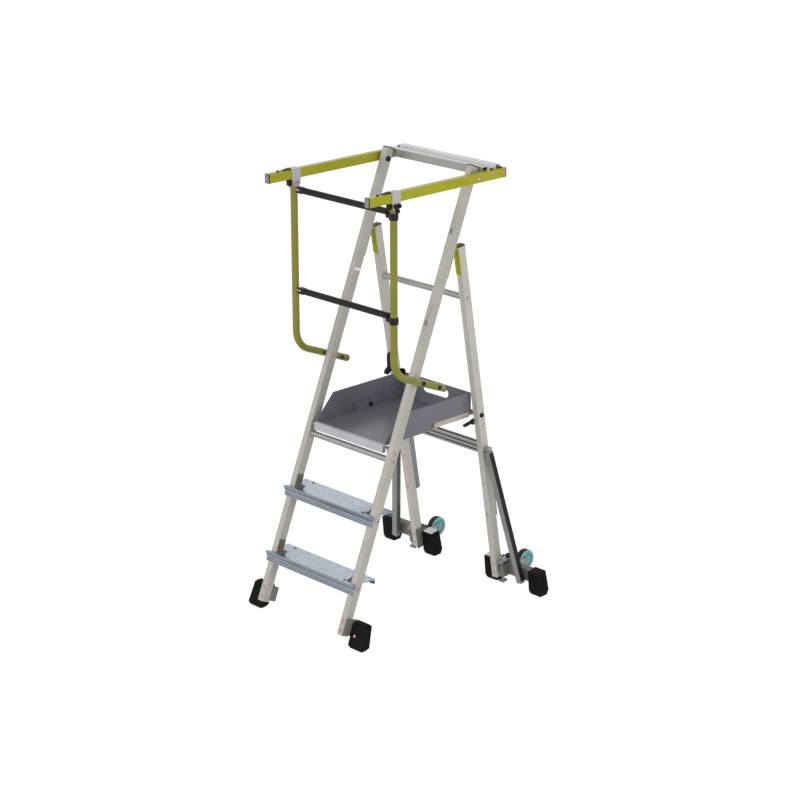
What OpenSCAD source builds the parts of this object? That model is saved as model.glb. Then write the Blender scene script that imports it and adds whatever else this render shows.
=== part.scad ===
// Folding rolling work platform: a leaning climbing frame with two treads and a tray
// platform, hinged to a rear frame on wheels with fold-up outriggers, and topped by
// guard rails, side tubes and two swinging gate bars.
// +Z is up, +Y points away from the climber, the origin is the middle of the footprint.

/* [Climbing frame] */
// Lean of the stiles, away from the climber
lean = 22.1; // [20:0.1:24]
// Place of the stiles' centre line on the floor, along Y
stile_y0 = -526; // [-540:1:-510]
// Half the distance between the stiles' centres
stile_x = 227; // [225:1:232]
// Width of a stile and of a rear leg, across the frame
tube_w = 26; // [24:1:28]
// Depth of a stile and of a rear leg
tube_d = 36; // [32:1:38]
// Wall of the box tubes
wall = 2; // [1.5:0.5:3]
// Height of the stiles' lower ends
stile_bottom = 46; // [40:1:50]
// Height of the stiles' upper ends
stile_top = 1748; // [1740:1:1752]

/* [Treads and platform] */
// Height of the lower tread
step_1 = 239; // [230:1:250]
// Height of the upper tread
step_2 = 486; // [475:1:495]
// Height of the platform floor
floor_z = 736; // [730:1:745]
// Half the width of a tread
step_half_w = 248; // [246:1:252]
// Half the width of the tray
tray_x = 192; // [186:1:198]
// Front edge of the platform floor
tray_front = -257; // [-262:1:-252]
// Rear wall of the tray
tray_rear = 222; // [215:1:226]
// Height of the toe boards above the floor
toe_h = 100; // [90:1:110]

/* [Guard rails] */
// Half the distance between the rails' centres
rail_x = 270; // [269:1:274]
// Height of the rails' centre
rail_z = 1714; // [1712:1:1718]
// Width of a rail
rail_w = 24; // [22:1:24]
// Height of a rail
rail_h = 36; // [34:1:40]
// Front end of the rails
rail_front = -402; // [-420:1:-390]
// Rear end of the rails
rail_rear = 306; // [302:1:320]
// Diameter of the side tubes
side_d = 28; // [27:1:29]
// Place of the side tubes' upright run, along Y
side_y = -272; // [-280:1:-265]
// Bend radius of the side tubes
side_bend = 95; // [80:5:110]
// Height of the lower gate bar
gate_low = 1261; // [1240:1:1275]
// Height of the upper gate bar
gate_high = 1655; // [1600:1:1655]

/* [Rear frame] */
// Lean of the rear legs, towards the climber
leg_lean = 9.5; // [8:0.1:11]
// Place of the rear legs' centre line on the floor, along Y
leg_y0 = 357.5; // [350:0.5:365]
// Height of the frame hinge
hinge_z = 1447; // [1440:1:1452]
// Height of the rear legs' lower ends
leg_bottom = 36; // [34:1:40]
// Height of the round tube between the legs
rear_tube_z = 1244; // [1200:1:1260]
// Height of the grooved crossbar between the legs
rear_bar_z = 608; // [600:1:615]

/* [Outriggers and wheels] */
// Place of the outer foot's centre, across the frame
outer_foot_x = 418; // [416:1:426]
// Place of the inner foot's centre, across the frame
inner_foot_x = 178; // [176:1:182]
// Wheel diameter
wheel_d = 84; // [78:1:88]
// Wheel width
wheel_w = 24; // [20:1:26]
// Height of the wheel axles
axle_z = 75; // [70:1:80]
// Place of the wheel axles, along Y
axle_y = 482.1; // [476:1:484]
// Place of the wheels, across the frame
wheel_x = 252; // [250:1:254]

/* [Hidden] */

$fn = 32;
stile_out = stile_x + tube_w / 2;
stile_in = stile_x - tube_w / 2;
stile_half = tube_d / 2 / cos(lean);
cap_t = 4;
bolt_r = 4;
bolt_hole = 4.1;
head_r = 8;
head_h = 4;
pin_r = 5;
pin_bore = 5.06;
step_t = 2.5;
bracket_drop = 18;
rivet_hole = 4.05;
foot_screw_z = [62, 98];
crossbar_y = 204;
crossbar_d = 26;
crossbar_z = 1713;
crossbar_h = 31;
guard_bar_y = 275;
guard_bolt_y = [241, 288];
side_arm_z = 975;
side_arm_end = 130;
side_bolt_2 = 92;
sleeve_l = 43;
sleeve_bottom = rail_z - rail_h / 2 - 4;
cheek_x = side_d / 2 + 0.3;
cheek_t = 2.5;
pivot_z = 1709;
catch_x = rail_x - side_d / 2;
gate_d = 25;
ring_r = side_d / 2 + 3.5;
ring_drop = 12;
foot_plate = 3;
foot_lean = 18;
foot_front_y = -502;
foot_side = [stile_out + foot_plate + 5, 328];
hinge_y = 88.5;
leaf_l = 105;
leaf_t = 3;
knuckle_r = 6.6;
leg_top = 1452;
track_d = 18;
track_x = stile_x - 8;
link_y = 35;
link_z = 746;
link_x = 182.5;
link_t = 5;
link_h = 22;
leg_link_z = 752;
floor_t = 3;
sheet = 2;
tray_pivot_z = 715;
rung_z = 684;
rung_d = 24;
jog = 11;
jog_h = 30;
skirt_h = 22;
jog_front = -42;
skirt_end = 1;
tray_in = tray_x - jog;
wall_t = 2.5;
slot_z = floor_z + 64;
slot_r = 19;
slot_half = 51;
nose_h = 30;
bush_r = 7;
ear_x = stile_in - 6;
beam_v1 = 23.5;
beam_v2 = 49.5;
beam_mid = (beam_v1 + beam_v2) / 2;
beam_w1 = 42;
beam_w2 = 99;
stub_end = stile_out - 2;
swing_x = 260;
swing_v = -2;
arm_start = swing_x - 10;
lug_t = 6;
lug_low = 20;
lug_high = 106;
lug_gap = 0.3;
strut_top_w = 617;
strut_foot_x = 355;
strut_foot_w = 58;
strut_w = 26;
strut_v1 = -13;
strut_v2 = 9;
foot_w = 54;
foot_d = 46;
foot_h = 101;
foot_v = beam_mid - 4;
knob_v = 37;
fork_gap = wheel_w / 2 + 1;

function stile_y(z) = stile_y0 + z * tan(lean);
function leg_y(z) = leg_y0 - z * tan(leg_lean);
side_arm_y = stile_y(side_arm_z);
tray_pivot_y = stile_y(tray_pivot_z) - 4;

// Frames that follow a stile and a leg: local Z runs along the tube, local Y to the back.
module on_stile(x, z) {
    translate([x, stile_y(z), z]) rotate([-lean, 0, 0]) children();
}
module on_leg(x, z = 0) {
    translate([x, leg_y(z), z]) rotate([leg_lean, 0, 0]) children();
}
module both_sides() {
    children();
    mirror([1, 0, 0]) children();
}
module block(x1, x2, y1, y2, z1, z2) {
    translate([x1, y1, z1]) cube([x2 - x1, y2 - y1, z2 - z1]);
}
module rod_x(x1, x2, y, z, r) {
    translate([x1, y, z]) rotate([0, 90, 0]) cylinder(r = r, h = x2 - x1);
}
module rod_y(x, y1, y2, z, r) {
    translate([x, y1, z]) rotate([-90, 0, 0]) cylinder(r = r, h = y2 - y1);
}
module domed_head_x(x, y, z, dir, r = head_r, h = head_h) {
    translate([x, y, z]) rotate([0, 90 * dir, 0]) {
        cylinder(r = r, h = h * 0.5);
        translate([0, 0, h * 0.5]) cylinder(r1 = r, r2 = r * 0.6, h = h * 0.5);
    }
}
module domed_head_y(x, y, z, dir, r = head_r, h = head_h) {
    translate([x, y, z]) rotate([-90 * dir, 0, 0]) {
        cylinder(r = r, h = h * 0.5);
        translate([0, 0, h * 0.5]) cylinder(r1 = r, r2 = r * 0.6, h = h * 0.5);
    }
}
module box_tube(w, d, len) {
    difference() {
        translate([-w / 2, -d / 2, 0]) cube([w, d, len]);
        translate([-w / 2 + wall, -d / 2 + wall, -1])
            cube([w - 2 * wall, d - 2 * wall, len + 2]);
    }
}

// ---- climbing frame ----
module stile() {
    len = (stile_top - stile_bottom) / cos(lean);
    color("gainsboro") difference() {
        on_stile(stile_x, stile_bottom) box_tube(tube_w, tube_d, len);
        rod_x(stile_in - 1, stile_out + 1, stile_y(pivot_z), pivot_z, bolt_hole);
        rod_x(stile_in - 1, stile_out + 1, side_arm_y, side_arm_z, bolt_hole);
        rod_x(stile_in - 1, stile_out + 1, tray_pivot_y, tray_pivot_z, bolt_hole);
        rod_x(stile_in - 1, stile_out + 1, stile_y(rung_z), rung_z, bolt_hole);
        for (z = [step_1, step_2])
            rod_x(stile_in - 1, stile_out + 1, stile_y(z - bracket_drop), z - bracket_drop, bolt_hole);
    }
}
module stile_left() { mirror([1, 0, 0]) stile(); }
module stile_right() { stile(); }

module end_caps() {
    color("dimgray") both_sides() {
        on_stile(stile_x, stile_top) translate([-tube_w / 2, -tube_d / 2, 0])
            cube([tube_w, tube_d, cap_t]);
        for (y = [rail_front - cap_t, rail_rear])
            block(rail_x - rail_w / 2, rail_x + rail_w / 2, y, y + cap_t,
                  rail_z - rail_h / 2, rail_z + rail_h / 2);
        for (y = guard_bolt_y)
            translate([rail_x, y, rail_z + rail_h / 2]) cylinder(r = 7, h = 5);
        side_arm_frame() rod_y(0, side_arm_end, side_arm_end + cap_t, 0, side_d / 2);
    }
}

// A folded tread: flat top, kicked nose over a two-band lip, hooked rear flange.
function tread_outline() = [
    [-44, 2], [-40, 5], [-34, 0], [75, 0], [75, -20], [66, -20], [66, -17.5],
    [72.5, -17.5], [72.5, -step_t], [-36, -step_t], [-40.5, 1], [-33.5, -18],
    [-38, -38], [-40.5, -37.5], [-36.2, -18]
];
// Places of the two rivets at each end of a tread, as [x, y from the stile].
function tread_rivets() = [[stile_in - 24, 62], [stile_in - 40, -16]];
module tread(z) {
    notch_y = stile_half + 1.5;
    color("lightsteelblue") difference() {
        translate([-step_half_w, stile_y(z), z]) rotate([90, 0, 90])
            linear_extrude(height = 2 * step_half_w) polygon(tread_outline());
        both_sides() block(stile_in - 0.5, step_half_w + 1, stile_y(z) - notch_y,
                           stile_y(z) + notch_y, z - 12, z + 2);
        both_sides() for (r = tread_rivets())
            translate([r[0], stile_y(z) + r[1], z - 10]) cylinder(r = rivet_hole, h = 20);
    }
}
module step_lower() { tread(step_1); }
module step_upper() { tread(step_2); }

module step_bracket(z) {
    plate = 4;
    on_stile(stile_in - plate / 2, z + 6.5) translate([-plate / 2, -15, 0]) cube([plate, 30, 39]);
    translate([stile_in - plate - 26, stile_y(z) - 14, z]) cube([30, 28, 3]);
    translate([stile_in - plate, stile_y(z) + 1.5, z + 3]) rotate([90, 0, 0])
        linear_extrude(height = 3) polygon([[0, 0], [0, 26], [-22, 0]]);
    difference() {
        on_stile(stile_in - plate / 2, z - 34) translate([-plate / 2, -15, 0]) cube([plate, 30, 26]);
        rod_x(stile_in - plate - 1, stile_in + 1, stile_y(z - bracket_drop), z - bracket_drop, bolt_hole);
    }
}
module step_brackets() {
    color("darkslategray") both_sides() for (z = [step_1, step_2]) step_bracket(z);
}
module step_fasteners() {
    color("silver") both_sides() for (z = [step_1, step_2]) {
        y = stile_y(z - bracket_drop);
        rod_x(stile_in - 4, stile_out, y, z - bracket_drop, bolt_r);
        domed_head_x(stile_out, y, z - bracket_drop, 1);
        domed_head_x(stile_in - 4, y, z - bracket_drop, -1, 6, 5);
        for (r = tread_rivets())
            translate([r[0], stile_y(z) + r[1], z - step_t]) cylinder(r = 4, h = step_t + 1.5);
        translate([stile_in - 18, stile_y(z) + 8, z + 3]) cylinder(r = 4.5, h = 3);
    }
}
module platform_rung() {
    color("silver") difference() {
        rod_x(-stile_in, stile_in, stile_y(rung_z), rung_z, rung_d / 2);
        rod_x(-stile_in - 1, stile_in + 1, stile_y(rung_z), rung_z, rung_d / 2 - wall);
        rod_x(-stile_in - 1, stile_in + 1, stile_y(rung_z), rung_z, bolt_hole);
    }
}
// Through bolts of the rung, and the screws that hold the front foot brackets.
module stile_bolts() {
    color("silver") both_sides() {
        rod_x(stile_in - 12, stile_out, stile_y(rung_z), rung_z, bolt_r);
        domed_head_x(stile_out, stile_y(rung_z), rung_z, 1);
        for (z = foot_screw_z) on_stile(stile_x, z) domed_head_y(0, -tube_d / 2, 0, -1, 7, head_h);
    }
}

// ---- guard rails ----
module hollow_bar(x, y1, z1, d, h) {
    difference() {
        block(-x, x, y1, y1 + d, z1, z1 + h);
        block(-x - 1, x + 1, y1 + wall, y1 + d - wall, z1 + wall, z1 + h - wall);
    }
}
module top_crossbar() {
    color("darkgray") hollow_bar(rail_x - rail_w / 2, crossbar_y, crossbar_z, crossbar_d, crossbar_h);
}
module rear_guard_bar() {
    color("whitesmoke") hollow_bar(rail_x - rail_w / 2, guard_bar_y, crossbar_z, crossbar_d, crossbar_h);
}
module guard_rail() {
    color("olivedrab") difference() {
        translate([rail_x, rail_front, rail_z]) rotate([-90, 0, 0])
            box_tube(rail_w, rail_h, rail_rear - rail_front);
        rod_x(rail_x - rail_w, rail_x + rail_w, stile_y(pivot_z), pivot_z, bolt_hole);
    }
}
module guard_rail_left() { mirror([1, 0, 0]) guard_rail(); }
module guard_rail_right() { guard_rail(); }

module rail_pivots() {
    y = stile_y(pivot_z);
    rail_in = rail_x - rail_w / 2;
    rail_out = rail_x + rail_w / 2;
    color("silver") both_sides() {
        rod_x(stile_in - 6, rail_out, y, pivot_z, bolt_r);
        domed_head_x(rail_out, y, pivot_z, 1, 9);
        difference() {
            rod_x(stile_out, rail_in, y, pivot_z, 8);
            rod_x(stile_out - 1, rail_in + 1, y, pivot_z, bolt_r);
        }
        domed_head_x(stile_in, y, pivot_z, -1, 9.5, 9);
        for (gy = guard_bolt_y) domed_head_x(rail_out, gy, rail_z + 4, 1, 7.5);
    }
}

// Local frame of the side tube's lower arm: Y runs along it, square to the stile.
module side_arm_frame() {
    translate([rail_x, side_arm_y, side_arm_z]) rotate([-lean, 0, 0]) children();
}
module side_tube() {
    color("olive") difference() {
        side_solid(side_d / 2, 0);
        side_solid(side_d / 2 - wall, 1);
        rod_x(rail_x - 20, rail_x + 20, side_arm_y, side_arm_z, bolt_hole);
        side_arm_frame() rod_x(-20, 20, side_bolt_2, 0, bolt_hole);
        for (b = clamp_bolts()) rod_x(rail_x - 20, rail_x + 20, b[0], b[1], bolt_hole);
    }
}
// A side tube's solid at radius r: upright run, bend and lower arm.
module side_solid(r, extra) {
    turn = 90 - lean;
    corner_z = side_arm_z + (side_arm_y - side_y) * tan(lean);
    tangent = side_bend * tan(turn / 2);
    arm_len = (side_arm_y - side_y) / cos(lean);
    translate([rail_x, side_y, corner_z + tangent])
        cylinder(r = r, h = sleeve_bottom - 1 - corner_z - tangent + extra);
    translate([rail_x, side_y + side_bend, corner_z + tangent])
        rotate([180, 0, 0]) rotate([0, 90, 0]) rotate([0, 0, 90])
            rotate_extrude(angle = turn, $fn = 64) translate([side_bend, 0]) circle(r = r);
    side_arm_frame() rod_y(0, tangent - arm_len, side_arm_end + extra, 0, r);
}
module side_tube_left() { mirror([1, 0, 0]) side_tube(); }
module side_tube_right() { side_tube(); }

module side_tube_bolts() {
    color("dimgray") both_sides() {
        rod_x(stile_in - 5, rail_x + side_d / 2 - 2, side_arm_y, side_arm_z, bolt_r);
        difference() {
            rod_x(stile_out, rail_x - side_d / 2, side_arm_y, side_arm_z, 10);
            rod_x(stile_out - 1, rail_x, side_arm_y, side_arm_z, bolt_r);
        }
        domed_head_x(stile_in, side_arm_y, side_arm_z, -1, 7, 6);
        domed_head_x(rail_x + side_d / 2, side_arm_y, side_arm_z, 1, 9, 5);
        rod_x(rail_x + side_d / 2 - 2, rail_x + side_d / 2, side_arm_y, side_arm_z, bolt_r);
        side_arm_frame() {
            rod_x(-side_d / 2, side_d / 2, side_bolt_2, 0, bolt_r);
            domed_head_x(side_d / 2, side_bolt_2, 0, 1, 8, 5);
            domed_head_x(-side_d / 2, side_bolt_2, 0, -1, 7, 4);
        }
    }
}

// Bolts of the rail clamps, as [y, z], in a triangle below the rail.
function clamp_bolts() = [
    [side_y - 9, sleeve_bottom - 9], [side_y + 9, sleeve_bottom - 9], [side_y, sleeve_bottom - 27]
];
module cheek() {
    rotate([90, 0, 90]) linear_extrude(height = cheek_t)
        polygon([[-19, 4], [19, 4], [19, -16], [9, -33], [-9, -33], [-19, -16]]);
}
module rail_clamp() {
    difference() {
        union() {
            block(rail_x - rail_w / 2 - 4, rail_x + rail_w / 2 + 4, side_y - sleeve_l / 2,
                  side_y + sleeve_l / 2, sleeve_bottom, rail_z + rail_h / 2 + 3);
            for (x = [cheek_x, -cheek_x - cheek_t]) translate([rail_x + x, side_y, sleeve_bottom]) cheek();
        }
        block(rail_x - rail_w / 2, rail_x + rail_w / 2, side_y - sleeve_l, side_y + sleeve_l,
              rail_z - rail_h / 2, rail_z + rail_h / 2);
        for (b = clamp_bolts()) rod_x(rail_x - 30, rail_x + 30, b[0], b[1], bolt_hole);
    }
}
module rail_clamps() { color("silver") both_sides() rail_clamp(); }
module clamp_fasteners() {
    x1 = rail_x - cheek_x - cheek_t;
    x2 = rail_x + cheek_x + cheek_t;
    color("black") both_sides() for (b = clamp_bolts()) {
        rod_x(x1, x2, b[0], b[1], bolt_r);
        domed_head_x(x1, b[0], b[1], -1, 6, 5);
        domed_head_x(x2, b[0], b[1], 1, 9, 12);
    }
}
// Cam latch on the rail in front of each clamp, with its stop screw.
module clamp_latches() {
    top = rail_z + rail_h / 2;
    front = side_y - sleeve_l / 2;
    color("black") both_sides() {
        translate([rail_x + 8, front, top]) rotate([90, 0, -90])
            linear_extrude(height = 16) polygon([[0, 0], [0, 6], [14, 5], [38, 1.5], [38, 0]]);
        translate([rail_x, front - 58, top]) cylinder(r = 6, h = 4);
        block(rail_x - 9, rail_x + 9, front - 8, front - 0.2, sleeve_bottom - 22, rail_z - rail_h / 2);
    }
}
// Tongue on the left side tube that the fork of each gate bar closes over.
module gate_catches() {
    color("silver") for (z = [gate_low, gate_high]) {
        difference() {
            block(-catch_x + 0.2, -catch_x + 26, side_y - 7, side_y + 7, z - 3.5, z + 3.5);
            translate([-catch_x + 16, side_y, z - 6]) cylinder(r = 2.5, h = 12);
        }
        domed_head_x(-rail_x - side_d / 2, side_y, z - 10, -1, 6, 5);
    }
}

// ---- gate bars: rubber covered bars that turn on the right side tube ----
module gate_bar(z) {
    fork_end = -catch_x + 10;
    bar_start = -catch_x + 30;
    root = rail_x - 26;
    color("black") difference() {
        union() {
            translate([rail_x, side_y, z - ring_drop - 14]) cylinder(r = ring_r, h = 26);
            rod_x(bar_start, root, side_y, z, gate_d / 2);
            block(root - 8, rail_x - 10, side_y - 8, side_y + 8, z - ring_drop - 9, z - 1);
            for (s = [-1, 1])
                block(fork_end, bar_start + 8, side_y - 9, side_y + 9,
                      z + s * 8.5 - 3.5, z + s * 8.5 + 3.5);
            block(bar_start, bar_start + 8, side_y - 9, side_y + 9, z - 12, z + 12);
        }
        translate([rail_x, side_y, z - 50]) cylinder(r = side_d / 2 + 0.08, h = 100);
    }
}
module gate_bar_upper() { gate_bar(gate_high); }
module gate_bar_lower() { gate_bar(gate_low); }

// ---- front feet ----
module front_foot_brackets() {
    color("dimgray") both_sides() {
        on_stile(stile_x, 46) translate([tube_w / 2, -tube_d / 2 + 2, 4]) cube([foot_plate, 68, 66]);
        on_stile(stile_x, 46) translate([tube_w / 2 + foot_plate, tube_d / 2 + 8, 14]) cube([5, 18, 34]);
        on_stile(stile_x, 46) difference() {
            translate([-tube_w / 2 - 2, tube_d / 2, 6]) cube([tube_w + 2, 32, 56]);
            translate([-tube_w / 2 + 1, tube_d / 2 + 3, 2]) cube([tube_w - 4, 26, 64]);
        }
    }
}
module foot_block(w, d, h, flare) {
    hull() {
        translate([-w / 2, -d / 2, h - 1]) cube([w, d, 1]);
        translate([-w / 2 - flare, -d / 2 - flare / 2, 14]) cube([w + 2 * flare, d + flare, 1]);
        translate([-w / 2 - flare + 8, -d / 2 - flare / 2 + 7, -12])
            cube([w + 2 * flare - 16, d + flare - 14, 1]);
    }
}
module above_floor() {
    intersection() {
        children();
        block(-600, 600, -700, 700, 0, 400);
    }
}
// A slab of a front foot at height z, leaning back with the stile.
module foot_slab(z, in, out, depth) {
    translate([foot_side[0] + in, foot_front_y + (36 - depth) / 2 + z * tan(foot_lean), z])
        cube([foot_side[1] - out - foot_side[0] - in, depth, 1]);
}
module front_feet() {
    color("black") both_sides() hull() {
        foot_slab(0, 9, 9, 22);
        foot_slab(11, 0, 0, 36);
        foot_slab(90, 0, 9, 30);
        foot_slab(96, 6, 15, 22);
    }
}

// ---- frame hinge: leaf on the stile's back, leaf on the leg's front, pin between ----
module knuckle(x1, x2, bore) {
    difference() {
        rod_x(x1, x2, hinge_y, hinge_z, knuckle_r);
        rod_x(x1 - 1, x2 + 1, hinge_y, hinge_z, bore);
    }
}
module hinge_leaves_front() {
    color("yellowgreen") both_sides() {
        on_stile(stile_x, hinge_z)
            translate([-tube_w / 2, tube_d / 2, -leaf_l]) cube([tube_w, leaf_t, leaf_l - 4]);
        for (x = [stile_x - 13, stile_x + 5]) knuckle(x, x + 8, pin_r);
        rod_x(stile_x - 15, stile_x + 15, hinge_y, hinge_z, pin_r);
    }
}
module hinge_leaves_rear() {
    color("yellowgreen") both_sides() {
        difference() {
            on_leg(stile_x, hinge_z)
                translate([-tube_w / 2, -tube_d / 2 - leaf_t, -leaf_l]) cube([tube_w, leaf_t, leaf_l - 4]);
            rod_x(stile_x - 20, stile_x + 20, hinge_y, hinge_z, knuckle_r + 0.3);
        }
        knuckle(stile_x - 4.6, stile_x + 4.6, pin_bore);
        for (w = [-56, -93]) on_leg(stile_x, hinge_z)
            domed_head_y(0, -tube_d / 2 - leaf_t, w, -1, 6, 3);
    }
}

// ---- rear frame ----
module rear_leg() {
    color("gainsboro") difference() {
        on_leg(stile_x, leg_bottom) box_tube(tube_w, tube_d, (leg_top - leg_bottom) / cos(leg_lean));
        rod_x(stile_in - 1, stile_out + 1, leg_y(leg_link_z), leg_link_z, bolt_hole);
    }
}
module rear_leg_left() { mirror([1, 0, 0]) rear_leg(); }
module rear_leg_right() { rear_leg(); }
module rear_leg_caps() {
    color("black") both_sides() on_leg(stile_x, leg_top)
        translate([-tube_w / 2, -tube_d / 2, 0]) cube([tube_w, tube_d, 5]);
}
module rear_tube() {
    color("silver") difference() {
        rod_x(-stile_in, stile_in, leg_y(rear_tube_z), rear_tube_z, 12.5);
        rod_x(-stile_in - 1, stile_in + 1, leg_y(rear_tube_z), rear_tube_z, 12.5 - wall);
    }
}
module rear_crossbar() {
    color("silver") on_leg(0, rear_bar_z) translate([-stile_in, 0, 0]) rotate([90, 0, 90])
        linear_extrude(height = 2 * stile_in) difference() {
            translate([-12, -21]) square([24, 42]);
            translate([-9, -18]) square([18, 36]);
            for (z = [-9, 9]) translate([-13, z - 3]) square([2, 6]);
        }
}
module rear_leg_bolts() {
    y = leg_y(leg_link_z);
    color("dimgray") both_sides() {
        rod_x(link_x + link_t + 0.3, stile_out, y, leg_link_z, bolt_r);
        domed_head_x(stile_out, y, leg_link_z, 1, 9, 6);
        difference() {
            rod_x(link_x + link_t + 0.3, stile_in, y, leg_link_z, 9);
            rod_x(link_x, stile_in + 1, y, leg_link_z, bolt_r);
        }
        rod_x(link_x - 6, link_x + link_t + 0.3, y, leg_link_z, pin_r);
        domed_head_x(stile_out, leg_y(710), 710, 1, 6, 3);
        domed_head_x(stile_out, leg_y(579), 579, 1, 6, 3);
        domed_head_x(stile_out, leg_y(rear_tube_z), rear_tube_z, 1, 7, 4);
        for (z = [318, 458]) on_leg(stile_x, z) domed_head_y(0, -tube_d / 2, 0, -1, 6, 3);
        for (z = [60, 95]) on_leg(stile_x, z) domed_head_y(0, -tube_d / 2, 0, -1, 6, 3);
    }
}
// Channel on the back of each leg that the front frame's clip runs in, with its nuts.
module leg_tracks() {
    color("silver") both_sides() on_leg(track_x, 296) {
        difference() {
            translate([-9, tube_d / 2, 0]) cube([18, track_d, 300]);
            translate([-6, tube_d / 2 + 3, -1]) cube([12, track_d, 302]);
        }
        for (w = [34, 155]) translate([0, tube_d / 2 + 3, w]) rotate([-90, 0, 0]) cylinder(r = 5.5, h = 20);
    }
}
module storage_hook() {
    color("black") on_leg(-stile_x, 836)
        translate([-2, -tube_d / 2, 0]) rotate([90, 0, 90]) linear_extrude(height = 14)
            polygon([[0, 84], [0, 22], [-10, 10], [-34, 0], [-44, 6], [-40, 18], [-22, 28],
                     [-18, 64], [-12, 84]]);
}
module link_rests() {
    color("black") both_sides() on_leg(stile_x, 714)
        translate([-tube_w / 2 - 12, -tube_d / 2, 0]) {
            translate([0, -8, 0]) cube([12, 34, 20]);
            translate([0, -52, 8]) cube([12, 45, 9]);
        }
}

// ---- stabiliser bases: stub beam, flange and wheel plate behind each leg ----
module stabiliser_bases() {
    color("gray") both_sides() on_leg(0) {
        difference() {
            block(inner_foot_x - 17, stub_end, beam_v1, beam_v2, beam_w1, beam_w2);
            block(inner_foot_x - 18, stub_end + 1, beam_v1 + 3, beam_v2 - 3, beam_w1 + 3, beam_w2 - 3);
        }
        block(stub_end, stub_end + 4, beam_v1 - 5, beam_v2, beam_w1 - 10, beam_w2 + 5);
        block(stile_in, stile_out - 2, tube_d / 2, beam_v1, beam_w1 + 8, beam_w2 - 8);
        block(stile_in, swing_x + 8, beam_v2 + 1.5, beam_v2 + 5.5, beam_w1 - 6, beam_w2 + 6);
        block(stile_in, stub_end, beam_v2, beam_v2 + 1.5, beam_w1, beam_w2);
    }
}
// Lugs and pins on the outer side of each leg that an outrigger swings on.
module outrigger_hinges() {
    color("silver") both_sides() on_leg(0) {
        for (w = [lug_low, strut_top_w + lug_gap])
            block(stile_out, swing_x + 8, swing_v - 12, swing_v + 14, w, w + lug_t);
        difference() {
            block(stile_out, swing_x + 8, swing_v - 12, knob_v + 10, lug_high, lug_high + lug_t);
            translate([swing_x, knob_v, lug_high - 1]) cylinder(r = 4.06, h = lug_t + 2);
        }
        rod_v(swing_x, lug_low, lug_high + lug_t + 4, pin_r);
        rod_v(swing_x, strut_top_w - 22, strut_top_w + lug_t + 4, pin_r);
        for (w = [lug_high, strut_top_w]) translate([swing_x, swing_v, w + lug_t]) cylinder(r = 8, h = 4);
    }
}
// A pin along the leg on the outrigger's swing axis.
module rod_v(x, w1, w2, r) {
    translate([x, swing_v, w1]) cylinder(r = r, h = w2 - w1);
}
module rear_foot(x) {
    above_floor() on_leg(0) translate([x, foot_v, 0]) foot_block(foot_w, foot_d, foot_h, 4);
}
module inner_feet() {
    color("black") both_sides() difference() {
        rear_foot(inner_foot_x);
        on_leg(0) block(inner_foot_x - 17, stub_end, beam_v1 - 0.01, beam_v2 + 0.01,
                        beam_w1 - 0.01, beam_w2 + 0.01);
    }
}
module wheel_forks() {
    fork_y = leg_y(axle_z) + beam_v2 + 9;
    color("silver") both_sides() {
        for (s = [-1, 1])
            translate([wheel_x + s * (fork_gap + 1.5) - 1.5, fork_y, axle_z - 14])
                cube([3, axle_y + 12 - fork_y, 28]);
        on_leg(0) block(wheel_x - fork_gap - 3, wheel_x + fork_gap + 3, beam_v2 + 5.5, beam_v2 + 9.5,
                        axle_z - 24, axle_z + 10);
        rod_x(wheel_x - fork_gap - 6, wheel_x + fork_gap + 6, axle_y, axle_z, pin_r);
    }
}

// ---- wheels ----
module wheel(x) {
    color("mediumturquoise") difference() {
        rod_x(x - wheel_w / 2 + 1, x + wheel_w / 2 - 1, axle_y, axle_z, wheel_d / 2 - 7);
        for (s = [-1, 1])
            translate([x + s * (wheel_w / 2 - 4), axle_y, axle_z]) rotate([0, 90 * s, 0])
                difference() {
                    cylinder(r = wheel_d / 2 - 12, h = 10);
                    cylinder(r = 12, h = 10);
                }
        rod_x(x - wheel_w, x + wheel_w, axle_y, axle_z, pin_bore);
    }
}
module tyre(x) {
    color("dimgray") difference() {
        rod_x(x - wheel_w / 2, x + wheel_w / 2, axle_y, axle_z, wheel_d / 2);
        rod_x(x - wheel_w, x + wheel_w, axle_y, axle_z, wheel_d / 2 - 7);
    }
}
module wheel_left() { wheel(-wheel_x); }
module wheel_right() { wheel(wheel_x); }
module tyre_left() { tyre(-wheel_x); }
module tyre_right() { tyre(wheel_x); }

// ---- outriggers: arm, strut and foot swing forward together about the leg's side ----
module outrigger_arm() {
    arm_end = outer_foot_x + 12;
    color("gray") on_leg(0) difference() {
        union() {
            block(arm_start, arm_end, beam_v1, beam_v2, beam_w1 + 1, beam_w2 - 1);
            block(arm_start, arm_start + 4, beam_v1 - 5, beam_v2, lug_low + lug_t + 4, beam_w2 - 1);
            block(arm_start, swing_x + 10, swing_v, beam_v1, beam_w1 + 4, beam_w2 - 4);
            rod_v(swing_x, beam_w1 + 4, beam_w2 - 4, 10);
            rod_y(strut_foot_x, strut_v2, beam_v1, strut_foot_w, 9);
        }
        block(swing_x + 12, arm_end + 1, beam_v1 + 3, beam_v2 - 3, beam_w1 + 4, beam_w2 - 4);
        rod_v(swing_x, beam_w1, beam_w2, pin_bore);
    }
}
module outrigger_arm_left() { mirror([1, 0, 0]) outrigger_arm(); }
module outrigger_arm_right() { outrigger_arm(); }
module outer_foot() {
    color("black") difference() {
        rear_foot(outer_foot_x);
        on_leg(0) block(swing_x, outer_foot_x + 12.01, beam_v1 - 0.01, beam_v2 + 0.01,
                        beam_w1 + 0.99, beam_w2 - 0.99);
    }
}
module outer_foot_left() { mirror([1, 0, 0]) outer_foot(); }
module outer_foot_right() { outer_foot(); }

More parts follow.
